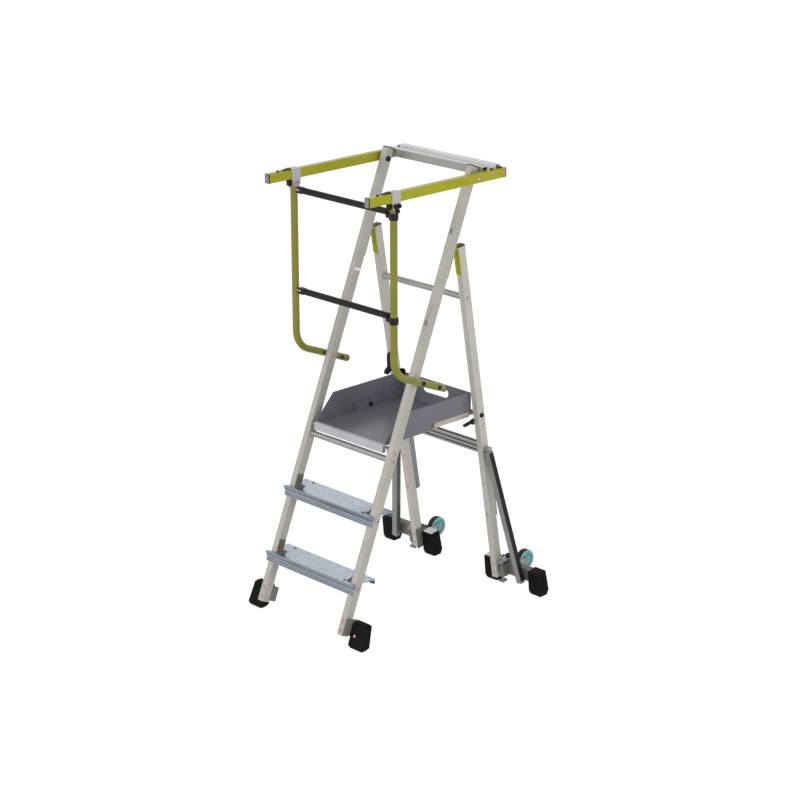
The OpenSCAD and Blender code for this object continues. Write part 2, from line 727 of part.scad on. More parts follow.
module strut() {
    shoulder_w = strut_top_w - 20;
    tilt = atan((strut_foot_x - swing_x) / (shoulder_w - strut_foot_w));
    len = norm([strut_foot_x - swing_x, shoulder_w - strut_foot_w]);
    color("slategray") on_leg(0) difference() {
        union() {
            translate([swing_x, 0, shoulder_w]) rotate([0, -tilt, 0])
                block(-strut_w / 2, strut_w / 2, strut_v1, strut_v2, -len - 13, 14);
            rod_v(swing_x, shoulder_w, strut_top_w, 9.5);
        }
        translate([swing_x, 0, shoulder_w]) rotate([0, -tilt, 0])
            block(-strut_w / 2 + 3, strut_w / 2 - 3, strut_v1 + 3, strut_v2 - 3, -len - 14, 8);
        rod_v(swing_x, shoulder_w - 20, strut_top_w + 1, pin_bore);
    }
}
module strut_left() { mirror([1, 0, 0]) strut(); }
module strut_right() { strut(); }

// Spring plunger in the upper lug that locks the arm; it is pulled up along the leg.
module lock_knob() {
    color("black") on_leg(0) translate([swing_x, knob_v, lug_high]) {
        translate([0, 0, -5.5]) cylinder(r = 4, h = 20);
        translate([0, 0, lug_t + 0.3]) cylinder(r1 = 7, r2 = 10, h = 5);
        translate([0, 0, lug_t + 5]) cylinder(r = 10, h = 9);
        translate([0, 0, lug_t + 14]) cylinder(r1 = 10, r2 = 6, h = 4);
    }
}
module lock_knob_left() { mirror([1, 0, 0]) lock_knob(); }
module lock_knob_right() { lock_knob(); }

// ---- platform ----
module side_wall() {
    translate([tray_x - wall_t, 0, 0]) rotate([90, 0, 90]) linear_extrude(height = wall_t) polygon([
        [tray_front + 14, floor_z - floor_t], [skirt_end, floor_z - floor_t],
        [skirt_end, floor_z + skirt_h], [tray_rear, floor_z + skirt_h],
        [tray_rear, floor_z + toe_h], [tray_front + 102, floor_z + toe_h],
        [tray_front + 14, floor_z + 8]
    ]);
}
// The side walls step inwards above the links, so that a link lies in the recess.
module platform_tray() {
    color("slategray") difference() {
        union() {
            block(-tray_in, tray_in, tray_front + 14, tray_rear, floor_z - floor_t, floor_z);
            both_sides() {
                side_wall();
                block(tray_in - 1, tray_x - 1, tray_front + 14, jog_front, floor_z - floor_t, floor_z);
                block(tray_in - sheet, tray_in, jog_front, tray_rear, floor_z - floor_t, floor_z + jog_h);
                block(tray_in - sheet, tray_x - 1, jog_front, jog_front + sheet,
                      floor_z - floor_t, floor_z + jog_h);
                block(tray_in - sheet, tray_x - 1, jog_front, tray_rear,
                      floor_z + jog_h - sheet, floor_z + jog_h);
            }
            block(-tray_in, tray_in, tray_rear - sheet, tray_rear, floor_z - floor_t, floor_z + toe_h);
            block(-tray_x, tray_x, tray_rear - sheet, tray_rear,
                  floor_z + jog_h - sheet, floor_z + toe_h);
        }
        block(-slot_half, slot_half, tray_rear - 10, tray_rear + 10, slot_z - slot_r, slot_z + slot_r);
        for (x = [-slot_half, slot_half]) rod_y(x, tray_rear - 10, tray_rear + 10, slot_z, slot_r);
        both_sides() {
            rod_x(tray_in - 5, tray_in + 5, link_y, link_z, bolt_hole);
            block(tray_in + 0.7, link_x + link_t + 0.8, jog_front + 3, link_y + 10,
                  floor_z + jog_h - sheet - 1, floor_z + jog_h + 1);
        }
    }
}
module platform_nose() {
    color("lightgray") difference() {
        block(-tray_x, tray_x, tray_front, tray_front + 14, floor_z - nose_h, floor_z + 1.5);
        block(-tray_x - 1, tray_x + 1, tray_front + 3, tray_front + 11, floor_z - nose_h + 3, floor_z - 4);
    }
}
// Bracket inside the tray's rear left corner that the storage hook drops over.
module tray_catch() {
    color("black") {
        block(-tray_x + wall_t, -tray_x + wall_t + 3, tray_rear - 24, tray_rear - sheet,
              floor_z + toe_h - 14, floor_z + toe_h + 14);
        block(-tray_x + wall_t, -tray_x + 22, tray_rear - sheet - 3, tray_rear - sheet,
              floor_z + toe_h - 14, floor_z + toe_h + 14);
    }
}
// Stiffening ribs under the floor, and the front ears that turn on the stiles.
module platform_ribs() {
    color("silver") {
        for (x = [-110, 0, 110]) difference() {
            block(x - 20, x + 20, tray_front + 26, tray_rear - 6, floor_z - floor_t - 16, floor_z - floor_t);
            block(x - 17, x + 17, tray_front + 20, tray_rear, floor_z - floor_t - 13, floor_z - floor_t + 1);
        }
        both_sides() difference() {
            union() {
                translate([ear_x, tray_pivot_y, tray_pivot_z]) rotate([0, 90, 0]) cylinder(r = 12, h = 4);
                block(ear_x, ear_x + 4, tray_pivot_y - 12, tray_pivot_y + 12, tray_pivot_z, floor_z - 6);
                block(tray_x, ear_x + 4, tray_front + 2, tray_pivot_y + 12, floor_z - 10, floor_z - 6);
            }
            rod_x(ear_x - 1, ear_x + 5, tray_pivot_y, tray_pivot_z, bush_r);
        }
    }
}
module platform_bushes() {
    color("darkgoldenrod") both_sides() difference() {
        rod_x(ear_x - 3, ear_x + 5, tray_pivot_y, tray_pivot_z, bush_r);
        rod_x(ear_x - 4, ear_x + 6, tray_pivot_y, tray_pivot_z, pin_bore);
    }
}
module platform_pivots() {
    color("silver") both_sides() {
        rod_x(stile_in, stile_out, tray_pivot_y, tray_pivot_z, bolt_r);
        rod_x(stile_in - 14, stile_in, tray_pivot_y, tray_pivot_z, pin_r);
        domed_head_x(stile_out, tray_pivot_y, tray_pivot_z, 1);
    }
}

// ---- links between the rear legs and the tray ----
module link() {
    y2 = leg_y(leg_link_z);
    tilt = atan((leg_link_z - link_z) / (y2 - link_y));
    len = norm([y2 - link_y, leg_link_z - link_z]);
    color("tan") difference() {
        translate([link_x, link_y, link_z]) rotate([tilt, 0, 0]) {
            rod_x(0, link_t, 0, 0, link_h / 2);
            rod_x(0, link_t, len, 0, link_h / 2);
            block(0, link_t, 0, len, -link_h / 2, link_h / 2);
        }
        rod_x(link_x - 1, link_x + link_t + 1, y2, leg_link_z, pin_bore);
    }
}
module link_left() { mirror([1, 0, 0]) link(); }
module link_right() { link(); }

stile_left();
stile_right();
end_caps();
step_lower();
step_upper();
step_brackets();
step_fasteners();
platform_rung();
stile_bolts();
top_crossbar();
guard_rail_left();
guard_rail_right();
rail_pivots();
rear_guard_bar();
side_tube_left();
side_tube_right();
side_tube_bolts();
rail_clamps();
clamp_fasteners();
clamp_latches();
gate_catches();
front_feet();
front_foot_brackets();
hinge_leaves_front();
platform_pivots();
rear_leg_left();
rear_leg_right();
rear_leg_caps();
rear_tube();
rear_crossbar();
rear_leg_bolts();
leg_tracks();
hinge_leaves_rear();
stabiliser_bases();
outrigger_hinges();
inner_feet();
wheel_forks();
storage_hook();
link_rests();
tray_catch();
platform_tray();
platform_nose();
platform_ribs();
platform_bushes();
link_left();
link_right();
wheel_left();
wheel_right();
tyre_left();
tyre_right();
outrigger_arm_left();
outrigger_arm_right();
outer_foot_left();
outer_foot_right();
strut_left();
strut_right();
lock_knob_left();
lock_knob_right();
gate_bar_upper();
gate_bar_lower();
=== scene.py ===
"""Looks of the folding rolling work platform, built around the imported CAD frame."""

import math

import bpy
from mathutils import Matrix, Vector


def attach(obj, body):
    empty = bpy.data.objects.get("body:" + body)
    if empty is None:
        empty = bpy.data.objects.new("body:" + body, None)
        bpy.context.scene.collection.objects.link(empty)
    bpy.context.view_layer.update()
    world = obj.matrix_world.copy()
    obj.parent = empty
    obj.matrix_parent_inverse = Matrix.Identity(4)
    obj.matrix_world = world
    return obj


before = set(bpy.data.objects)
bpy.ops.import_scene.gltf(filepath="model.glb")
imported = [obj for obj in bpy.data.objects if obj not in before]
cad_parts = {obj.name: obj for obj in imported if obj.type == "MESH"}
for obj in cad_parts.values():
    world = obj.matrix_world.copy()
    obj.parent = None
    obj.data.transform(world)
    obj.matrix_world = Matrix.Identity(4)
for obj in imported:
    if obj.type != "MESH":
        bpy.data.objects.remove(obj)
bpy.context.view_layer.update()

LEAN = math.radians(22.1)
LEG_LEAN = math.radians(9.5)
STILE_Y0 = -0.526
LEG_Y0 = 0.3575
STILE_X = 0.227
TUBE_W = 0.026
TUBE_D = 0.036
STEP_HEIGHTS = (0.239, 0.486)
RAIL_X = 0.270
RAIL_Z = 1.714
RAIL_FRONT = -0.4063
AXLE_Y = 0.4821
AXLE_Z = 0.075
WHEEL_X = 0.252
INNER_FOOT_X = 0.178
SHOULDER = (0.260, -0.002, 0.597)
STRUT_TILT = math.atan2(0.095, 0.539)
STRUT_MIDDLE = -0.272
STRUT_FACE = 0.0136
CROSSBAR_Z = 0.608


# ---- places in the row frame ----
def stile_matrix(x, z):
    """Local Z along the stile at height z, local Y to its back."""
    y = STILE_Y0 + z * math.tan(LEAN)
    return Matrix.Translation((x, y, z)) @ Matrix.Rotation(-LEAN, 4, "X")


def leg_matrix(x, z):
    """Local Z along the rear leg at height z, local Y to its back."""
    y = LEG_Y0 - z * math.tan(LEG_LEAN)
    return Matrix.Translation((x, y, z)) @ Matrix.Rotation(LEG_LEAN, 4, "X")


# ---- node helpers ----
def new_material(name):
    """(material, node tree, principled shader) with nothing else in it."""
    mat = bpy.data.materials.new(name)
    mat.use_nodes = True
    tree = mat.node_tree
    tree.nodes.clear()
    out = tree.nodes.new("ShaderNodeOutputMaterial")
    bsdf = tree.nodes.new("ShaderNodeBsdfPrincipled")
    tree.links.new(bsdf.outputs[0], out.inputs[0])
    return mat, tree, bsdf


def coords(tree, scale=(1, 1, 1), rotation=(0, 0, 0)):
    """Object coordinates in metres, turned and then stretched."""
    tex = tree.nodes.new("ShaderNodeTexCoord")
    turn = tree.nodes.new("ShaderNodeMapping")
    turn.inputs["Rotation"].default_value = rotation
    stretch = tree.nodes.new("ShaderNodeMapping")
    stretch.inputs["Scale"].default_value = scale
    tree.links.new(tex.outputs["Object"], turn.inputs[0])
    tree.links.new(turn.outputs[0], stretch.inputs[0])
    return stretch.outputs[0]


def noise(tree, vector, scale, detail=3.0, rough=0.55):
    node = tree.nodes.new("ShaderNodeTexNoise")
    node.inputs["Scale"].default_value = scale
    node.inputs["Detail"].default_value = detail
    node.inputs["Roughness"].default_value = rough
    tree.links.new(vector, node.inputs["Vector"])
    return node.outputs[0]


def remap(tree, value, lo, hi, start=0.3, end=0.7):
    """value, from start to end, becomes lo to hi."""
    node = tree.nodes.new("ShaderNodeMapRange")
    node.inputs["From Min"].default_value = start
    node.inputs["From Max"].default_value = end
    node.inputs["To Min"].default_value = lo
    node.inputs["To Max"].default_value = hi
    tree.links.new(value, node.inputs["Value"])
    return node.outputs[0]


def tint(tree, factor, a, b):
    """Colour a where factor is 0, b where it is 1. a and b are colours or sockets."""
    node = tree.nodes.new("ShaderNodeMix")
    node.data_type = "RGBA"
    tree.links.new(factor, node.inputs[0])
    for value, socket in ((a, node.inputs[6]), (b, node.inputs[7])):
        if isinstance(value, tuple):
            socket.default_value = (*value, 1)
        else:
            tree.links.new(value, socket)
    return node.outputs[2]


def soft_edges(tree, radius):
    """(rounded normal, mask that is 1 on the edges)."""
    bevel = tree.nodes.new("ShaderNodeBevel")
    bevel.samples = 4
    bevel.inputs["Radius"].default_value = radius
    geo = tree.nodes.new("ShaderNodeNewGeometry")
    dot = tree.nodes.new("ShaderNodeVectorMath")
    dot.operation = "DOT_PRODUCT"
    tree.links.new(bevel.outputs[0], dot.inputs[0])
    tree.links.new(geo.outputs["Normal"], dot.inputs[1])
    return bevel.outputs[0], remap(tree, dot.outputs["Value"], 1, 0, 0.8, 0.985)


def bump(tree, height, normal, strength, distance):
    node = tree.nodes.new("ShaderNodeBump")
    node.inputs["Strength"].default_value = strength
    node.inputs["Distance"].default_value = distance
    tree.links.new(height, node.inputs["Height"])
    tree.links.new(normal, node.inputs["Normal"])
    return node.outputs[0]


def shade(color, k):
    return tuple(min(1.0, c * k) for c in color)


# ---- materials ----
def aluminium(name, color, rough=0.42, metallic=0.55, lean=0.0, along="Z"):
    """Satin extruded aluminium: fine drawing lines along the part and soft smudges."""
    mat, tree, bsdf = new_material(name)
    scale = {"X": (6, 900, 900), "Y": (900, 6, 900), "Z": (900, 900, 6)}[along]
    lines = noise(tree, coords(tree, scale, (lean, 0, 0)), 1.0, 2.0)
    smudge = noise(tree, coords(tree), 9.0, 4.0)
    normal, edge = soft_edges(tree, 0.0012)
    base = tint(tree, remap(tree, smudge, 0, 1), shade(color, 0.93), shade(color, 1.04))
    worn = tint(tree, edge, base, shade(color, 1.12))
    tree.links.new(worn, bsdf.inputs["Base Color"])
    tree.links.new(remap(tree, lines, rough - 0.05, rough + 0.08), bsdf.inputs["Roughness"])
    tree.links.new(bump(tree, lines, normal, 0.12, 0.0002), bsdf.inputs["Normal"])
    bsdf.inputs["Metallic"].default_value = metallic
    return mat


def galvanised(name, color, rough=0.36, metallic=0.7, size=70.0):
    """Zinc coated sheet: flat crystal spangle in a few greys."""
    mat, tree, bsdf = new_material(name)
    cells = tree.nodes.new("ShaderNodeTexVoronoi")
    cells.inputs["Scale"].default_value = size
    warp = coords(tree, (1, 1, 1), (0.3, 0.2, 0.1))
    tree.links.new(warp, cells.inputs["Vector"])
    split = tree.nodes.new("ShaderNodeSeparateColor")
    tree.links.new(cells.outputs["Color"], split.inputs[0])
    cloud = noise(tree, coords(tree), 7.0, 4.0)
    normal, edge = soft_edges(tree, 0.001)
    spangle = tint(tree, split.outputs[0], shade(color, 0.9), shade(color, 1.06))
    cloudy = tint(tree, remap(tree, cloud, 0, 0.3), spangle, shade(color, 0.8))
    worn = tint(tree, edge, cloudy, shade(color, 1.15))
    tree.links.new(worn, bsdf.inputs["Base Color"])
    tree.links.new(remap(tree, split.outputs[1], rough - 0.06, rough + 0.1, 0, 1),
                   bsdf.inputs["Roughness"])
    tree.links.new(bump(tree, split.outputs[2], normal, 0.05, 0.0002), bsdf.inputs["Normal"])
    bsdf.inputs["Metallic"].default_value = metallic
    return mat


def painted(name, color, rough=0.4, peel=420.0, wear=(0.5, 0.5, 0.48), coat=0.0, amount=0.35,
            shine=0.5):
    """Powder coat: orange peel, faint fading, edges rubbed a little."""
    mat, tree, bsdf = new_material(name)
    skin = noise(tree, coords(tree), peel, 2.0)
    fade = noise(tree, coords(tree), 6.0, 5.0)
    normal, edge = soft_edges(tree, 0.0012)
    base = tint(tree, remap(tree, fade, 0, 1), shade(color, 0.9), shade(color, 1.08))
    rub = remap(tree, noise(tree, coords(tree), 60.0, 4.0), 0, amount, 0.5, 0.62)
    mask = tree.nodes.new("ShaderNodeMath")
    mask.operation = "MULTIPLY"
    tree.links.new(edge, mask.inputs[0])
    tree.links.new(rub, mask.inputs[1])
    tree.links.new(tint(tree, mask.outputs[0], base, wear), bsdf.inputs["Base Color"])
    tree.links.new(remap(tree, fade, rough - 0.05, rough + 0.08), bsdf.inputs["Roughness"])
    tree.links.new(bump(tree, skin, normal, 0.12, 0.0004), bsdf.inputs["Normal"])
    bsdf.inputs["Specular IOR Level"].default_value = shine
    bsdf.inputs["Coat Weight"].default_value = coat
    bsdf.inputs["Coat Roughness"].default_value = 0.2
    return mat


def moulded(name, color, rough=0.5, grain=700.0, strength=0.2, dust=0.06, shine=0.5):
    """Moulded plastic or rubber: fine grain, scuffs and a little dust."""
    mat, tree, bsdf = new_material(name)
    fine = noise(tree, coords(tree), grain, 3.0)
    patch = noise(tree, coords(tree), 14.0, 5.0)
    normal, edge = soft_edges(tree, 0.0015)
    dusty = tuple(c + dust * 0.5 for c in color)
    base = tint(tree, remap(tree, patch, 0, 1), color, dusty)
    worn = tint(tree, edge, base, tuple(c + dust for c in color))
    tree.links.new(worn, bsdf.inputs["Base Color"])
    tree.links.new(remap(tree, patch, rough - 0.08, rough + 0.1), bsdf.inputs["Roughness"])
    tree.links.new(bump(tree, fine, normal, strength, 0.0004), bsdf.inputs["Normal"])
    bsdf.inputs["Specular IOR Level"].default_value = shine
    return mat


STILE_METAL = aluminium("stile_metal", (0.55, 0.53, 0.48), 0.48, 0.25, LEAN)
LEG_METAL = aluminium("leg_metal", (0.64, 0.62, 0.565), 0.48, 0.25, -LEG_LEAN)
BAR_METAL = aluminium("bar_metal", (0.52, 0.52, 0.51), 0.3, 0.8, 0.0, "X")
# Pure white: on the rear guard bar a painted highlight standing for the tube's blown-out shine; on
# the stile label the label's own white.
WHITE_LABEL_AND_HIGHLIGHT = aluminium("white_label_and_highlight", (1.0, 1.0, 1.0), 0.4, 0.1, 0.0, "X")
NOSE_METAL = aluminium("nose_metal", (0.66, 0.67, 0.71), 0.36, 0.6, 0.0, "X")
CLAMP_METAL = aluminium("clamp_metal", (0.60, 0.60, 0.59), 0.42, 0.5, 0.0, "Y")
TREAD_METAL = galvanised("tread_metal", (0.47, 0.53, 0.61), 0.26, 0.85, 190.0)
TRACK_METAL = galvanised("track_metal", (0.33, 0.36, 0.36), 0.45, 0.5)
RIB_METAL = galvanised("rib_metal", (0.45, 0.46, 0.48), 0.4, 0.7)
TRAY_COAT = painted("tray_coat", (0.185, 0.19, 0.222), 0.30, amount=0.2)
GREEN_COAT = painted("green_coat", (0.43, 0.42, 0.008), 0.24, 500.0, (0.45, 0.45, 0.2), shine=0.35)
# A darker copy of the green paint for the side tubes: painted shade standing for the dark
# reflections along the round tubes.
SHADED_TUBE_COAT = painted("shaded_tube_coat", (0.24, 0.235, 0.005), 0.13, 500.0, (0.4, 0.4, 0.2), 0.5,
                    shine=0.5)
LEAF_COAT = painted("leaf_coat", (0.45, 0.45, 0.012), 0.3, 500.0, (0.5, 0.5, 0.3), shine=0.35)
BRACKET_COAT = painted("bracket_coat", (0.21, 0.2, 0.18), 0.46, 400.0)
# Near-black: the tread rivets' own colour, and painted shade on the bolt sockets and the crossbar
# strips.
DARK_PAINT_AND_SHADE = painted("dark_paint_and_shade", (0.035, 0.036, 0.038), 0.4, 400.0, (0.3, 0.3, 0.3), shine=0.3)
SHOE_COAT = painted("shoe_coat", (0.17, 0.155, 0.135), 0.42, 400.0, (0.3, 0.3, 0.3), shine=0.35)
STRUT_COAT = painted("strut_coat", (0.30, 0.295, 0.28), 0.3, 300.0, amount=0.25)
LINK_COAT = painted("link_coat", (0.56, 0.52, 0.42), 0.45, 400.0)
BLACK_PLASTIC = moulded("black_plastic", (0.006, 0.006, 0.007), 0.34, 600.0, 0.12, 0.01, 0.3)
BLACK_RUBBER = moulded("black_rubber", (0.005, 0.005, 0.004), 0.6, 800.0, 0.3, 0.006, 0.1)
GRIP_RUBBER = moulded("grip_rubber", (0.007, 0.007, 0.007), 0.36, 900.0, 0.25, 0.01, 0.3)
WHEEL_PLASTIC = moulded("wheel_plastic", (0.13, 0.48, 0.51), 0.34, 500.0, 0.08, 0.04)
RIM_RUBBER = moulded("rim_rubber", (0.34, 0.62, 0.62), 0.45, 500.0, 0.1, 0.03)
TYRE_RUBBER = moulded("tyre_rubber", (0.014, 0.018, 0.018), 0.5, 700.0, 0.2, 0.03, 0.3)
ZINC = galvanised("zinc", (0.72, 0.40, 0.50), 0.28, 0.7, 900.0)
WHITE_PLASTIC = moulded("white_plastic", (0.75, 0.77, 0.80), 0.4, 500.0, 0.08, 0.02)
# Near-black sheet for the strut's outer side: painted shade, with a little rubbed wear on its edges.
STRUT_OUTER_SHADE = painted("strut_outer_side_shade", (0.012, 0.013, 0.017), 0.36, 400.0, (0.12, 0.12, 0.13),
                     amount=0.15, shine=0.3)
# Dark blue-grey sheet for the strut's inner side: painted shade and reflection.
STRUT_INNER_SHADE = painted("strut_inner_side_shade", (0.10, 0.11, 0.135), 0.25, 300.0, coat=0.3, amount=0.15)
# A darker copy of the stile aluminium: painted shade in the stile grooves.
GROOVE_SHADE_METAL = aluminium("groove_shade_metal", (0.34, 0.33, 0.30), 0.5, 0.25, LEAN)
# Dark grey for the tread lip lines: painted shade in the lip's folds.
LIP_SHADE_COAT = painted("lip_shade_coat", (0.10, 0.11, 0.13), 0.4, 400.0, amount=0.1)
CAP_METAL = aluminium("cap_metal", (0.30, 0.30, 0.29), 0.45, 0.3)
PATCH_GREY = moulded("patch_grey", (0.24, 0.24, 0.24), 0.5, 500.0, 0.05, 0.03)
BRONZE = aluminium("bronze", (0.62, 0.36, 0.08), 0.35, 0.9, 0.0, "X")

LOOKS = {
    STILE_METAL: ("stile_left", "stile_right"),
    LEG_METAL: ("rear_leg_left", "rear_leg_right"),
    BAR_METAL: ("top_crossbar", "rear_crossbar", "rear_tube", "platform_rung"),
    # The rear guard bar is painted pure white as a highlight.
    WHITE_LABEL_AND_HIGHLIGHT: ("rear_guard_bar",),
    NOSE_METAL: ("platform_nose",),
    CLAMP_METAL: ("rail_clamps",),
    TREAD_METAL: ("step_lower", "step_upper"),
    TRACK_METAL: ("leg_tracks",),
    RIB_METAL: ("platform_ribs", "outrigger_hinges", "wheel_forks"),
    TRAY_COAT: ("platform_tray",),
    GREEN_COAT: ("guard_rail_left", "guard_rail_right"),
    # The side tubes take the darker, painted-shade copy of the green paint.
    SHADED_TUBE_COAT: ("side_tube_left", "side_tube_right"),
    LEAF_COAT: ("hinge_leaves_front", "hinge_leaves_rear"),
    BRACKET_COAT: ("stabiliser_bases", "outrigger_arm_left", "outrigger_arm_right",
                   "front_foot_brackets"),
    SHOE_COAT: ("step_brackets",),
    STRUT_COAT: ("strut_left", "strut_right"),
    LINK_COAT: ("link_left", "link_right"),
    BLACK_PLASTIC: ("end_caps", "rear_leg_caps", "lock_knob_left", "lock_knob_right",
                    "clamp_latches", "storage_hook", "link_rests", "tray_catch",
                    "clamp_fasteners", "side_tube_bolts"),
    GRIP_RUBBER: ("gate_bar_upper", "gate_bar_lower"),
    BLACK_RUBBER: ("front_feet", "inner_feet", "outer_foot_left", "outer_foot_right"),
    WHEEL_PLASTIC: ("wheel_left", "wheel_right"),
    TYRE_RUBBER: ("tyre_left", "tyre_right"),
    ZINC: ("step_fasteners", "stile_bolts", "rail_pivots", "rear_leg_bolts",
           "platform_pivots", "gate_catches"),
    BRONZE: ("platform_bushes",),
}


def dress_nodes():
    for mat, names in LOOKS.items():
        for name in names:
            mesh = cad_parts[name].data
            mesh.materials.clear()
            mesh.materials.append(mat)


# ---- pieces ----
def piece(name, body, mat, verts, faces, smooth=False):
    """A mesh in the row frame that rides on a body."""
    mesh = bpy.data.meshes.new(name)
    mesh.from_pydata([tuple(v) for v in verts], [], faces)
    mesh.validate()
    mesh.update()
    for poly in mesh.polygons:
        poly.use_smooth = smooth
    mesh.materials.append(mat)
    obj = bpy.data.objects.new(name, mesh)
    bpy.context.collection.objects.link(obj)
    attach(obj, body)
    return obj


def box_mesh(size):
    x, y, z = (s / 2 for s in size)
    verts = [Vector((a, b, c)) for a in (-x, x) for b in (-y, y) for c in (-z, z)]
    faces = [(0, 1, 3, 2), (4, 6, 7, 5), (0, 4, 5, 1), (2, 3, 7, 6), (0, 2, 6, 4), (1, 5, 7, 3)]
    return verts, faces


def lathe(profile, sides):
    """A solid turned about local Z from (radius, height) pairs, closed on the axis."""
    verts, faces = [], []
    for r, h in profile:
        for i in range(sides):
            a = 2 * math.pi * i / sides
            verts.append(Vector((r * math.cos(a), r * math.sin(a), h)))
    for j in range(len(profile) - 1):
        for i in range(sides):
            k = (i + 1) % sides
            faces.append((j * sides + i, j * sides + k, (j + 1) * sides + k, (j + 1) * sides + i))
    faces.append(tuple(reversed(range(sides))))
    faces.append(tuple(range((len(profile) - 1) * sides, len(profile) * sides)))
    return verts, faces


def placed(mesh, matrix):
    verts, faces = mesh
    return [matrix @ v for v in verts], faces


def merged(parts):
    verts, faces = [], []
    for part_verts, part_faces in parts:
        base = len(verts)
        verts += part_verts
        faces += [tuple(base + i for i in f) for f in part_faces]
    return verts, faces


def group(name, body, mat, parts, smooth=False):
    if parts:
        return piece(name, body, mat, *merged(parts), smooth)


def facing_x(x, y, z, side):
    """Local Z points out along X to that side."""
    return Matrix.Translation((x, y, z)) @ Matrix.Rotation(side * math.pi / 2, 4, "Y")


def dome(radius, height):
    """A low domed head with a rim, standing on local Z = 0."""
    return lathe([(radius, 0), (radius, height * 0.5), (radius * 0.86, height * 0.8),
                  (radius * 0.5, height)], 24)


def ring(inner, outer, height):
    """A flat ring about local Z with softened edges."""
    sides = 48
    profile = [(inner, 0), (inner, height * 0.6), (inner + height * 0.4, height),
               (outer - height * 0.4, height), (outer, height * 0.6), (outer, 0)]
    verts, faces = lathe(profile, sides)
    faces = faces[:-2]
    last = (len(profile) - 1) * sides
    for i in range(sides):
        k = (i + 1) % sides
        faces.append((last + i, last + k, k, i))
    return verts, faces


def both(make):
    """The parts that make(side) gives for the left and the right side."""
    return [part for side in (-1, 1) for part in make(side)]


def stile_y(z):
    return STILE_Y0 + z * math.tan(LEAN)


def strut_matrix(side):
    """Local Z up along a strut from its shoulder, local X across the frame."""
    x, v, w = SHOULDER
    shoulder = leg_matrix(0, 0) @ Matrix.Translation((side * x, v, w))
    return shoulder @ Matrix.Rotation(-side * STRUT_TILT, 4, "Y")


# ---- pieces on the front frame ----
def add_bolt_details():
    heads = [(stile_y(0.684), 0.684), (stile_y(0.715) - 0.004, 0.715),
             (stile_y(0.221), 0.221), (stile_y(0.468), 0.468)]
    # Flat dark discs in the bolt heads: painted shade where the socket recesses are.
    sockets = both(lambda s: [placed(lathe([(0.0030, 0), (0.0030, 0.0003)], 6),
                                     facing_x(s * 0.24395, y, z, s)) for y, z in heads])
    group("bolt_sockets", "front_frame", DARK_PAINT_AND_SHADE, sockets)
    knobs = both(lambda s: [placed(dome(0.0104, 0.0098),
                                   facing_x(s * 0.2141, stile_y(1.709), 1.709, -s))])
    group("stile_knobs", "front_frame", BLACK_PLASTIC, knobs, True)
    nuts = both(lambda s: [placed(dome(0.0074, 0.0064),
                                  facing_x(s * 0.2141, stile_y(0.975), 0.975, -s))])
    clamp_heads = [(-0.281, 1.683), (-0.263, 1.683), (-0.272, 1.665)]
    nuts += both(lambda s: [placed(dome(0.0063, 0.0054), facing_x(s * 0.2534, y, z, -s))
                            for y, z in clamp_heads])
    group("clamp_nuts", "front_frame", ZINC, nuts, True)


def add_rail_end_faces():
    parts = both(lambda s: [placed(box_mesh((0.0216, 0.0006, 0.0336)),
                                   Matrix.Translation((s * RAIL_X, RAIL_FRONT, RAIL_Z)))])
    group("rail_end_faces", "front_frame", CAP_METAL, parts)


def add_stile_marks():
    """Small plain patches on the stiles, with nothing written on them."""
    grey = [placed(box_mesh((0.014, 0.0003, 0.020)),
                   stile_matrix(STILE_X, z) @ Matrix.Translation((0, -TUBE_D / 2 - 0.0001, 0)))
            for z in (1.511, 1.180)]
    group("stile_patches", "front_frame", PATCH_GREY, grey)
    light = [placed(box_mesh((0.0003, 0.034, 0.012)),
                    stile_matrix(-STILE_X, 1.298) @ Matrix.Translation((TUBE_W / 2 + 0.0001, 0, 0)))]
    group("stile_label", "front_frame", WHITE_LABEL_AND_HIGHLIGHT, light)


def add_tread_rivets():
    parts = []
    for z in STEP_HEIGHTS:
        for x, dy in ((0.190, 0.062), (0.174, -0.016)):
            for s in (-1, 1):
                place = Matrix.Translation((s * x, stile_y(z) + dy, z + 0.0001))
                parts.append(placed(dome(0.0047, 0.0022), place))
    group("tread_rivets", "front_frame", DARK_PAINT_AND_SHADE, parts, True)


def add_foot_bolts():
    turn = Matrix.Rotation(math.pi / 2, 4, "X")
    lean = Matrix.Rotation(-math.radians(18), 4, "X")
    parts = both(lambda s: [placed(dome(0.006, 0.003),
                                   Matrix.Translation((s * 0.272, -0.4857, 0.050)) @ lean @ turn)])
    group("foot_bolts", "front_frame", ZINC, parts, True)


def add_stile_grooves():
    """Two shallow drawn grooves down the front of each stile, drawn as flat darker strips: painted
    shade in the grooves.
    """
    parts = both(lambda s: [
        placed(box_mesh((0.0009, 0.00024, length)),
               stile_matrix(s * STILE_X + dx, z) @ Matrix.Translation((0, -TUBE_D / 2 - 0.0001, 0)))
        for dx in (-0.0070, 0.0070)
        for z, length in ((0.140, 0.16), (0.364, 0.20), (1.055, 1.18))])
    group("stile_grooves", "front_frame", GROOVE_SHADE_METAL, parts)


def add_lip_lines():
    """Dark lines along the folds of each tread's front lip: painted shade in the folds."""
    parts = []
    for z in STEP_HEIGHTS:
        for dy, dz, tilt in ((-0.0407, -0.0070, 21.3), (-0.0377, -0.0240, -12.4),
                             (-0.0394, -0.0315, -12.4)):
            turn = Matrix.Rotation(math.radians(tilt), 4, "X")
            place = Matrix.Translation((0, stile_y(z) + dy, z + dz)) @ turn
            parts.append(placed(box_mesh((0.494, 0.0008, 0.0024)), place))
    group("tread_lip_shade_lines", "front_frame", LIP_SHADE_COAT, parts)


# ---- pieces on the tray ----
def add_tray_details():
    heads = both(lambda s: [placed(dome(0.0095, 0.007), facing_x(s * 0.1791, 0.035, 0.746, -s))])
    group("tray_bolt_heads", "platform", BLACK_PLASTIC, heads, True)
    ribs = [placed(box_mesh((0.37, 0.0014, 0.0010)), Matrix.Translation((0, y, 0.7378)))
            for y in (-0.2545, -0.2510, -0.2475)]
    group("nose_ribs", "platform", NOSE_METAL, ribs)


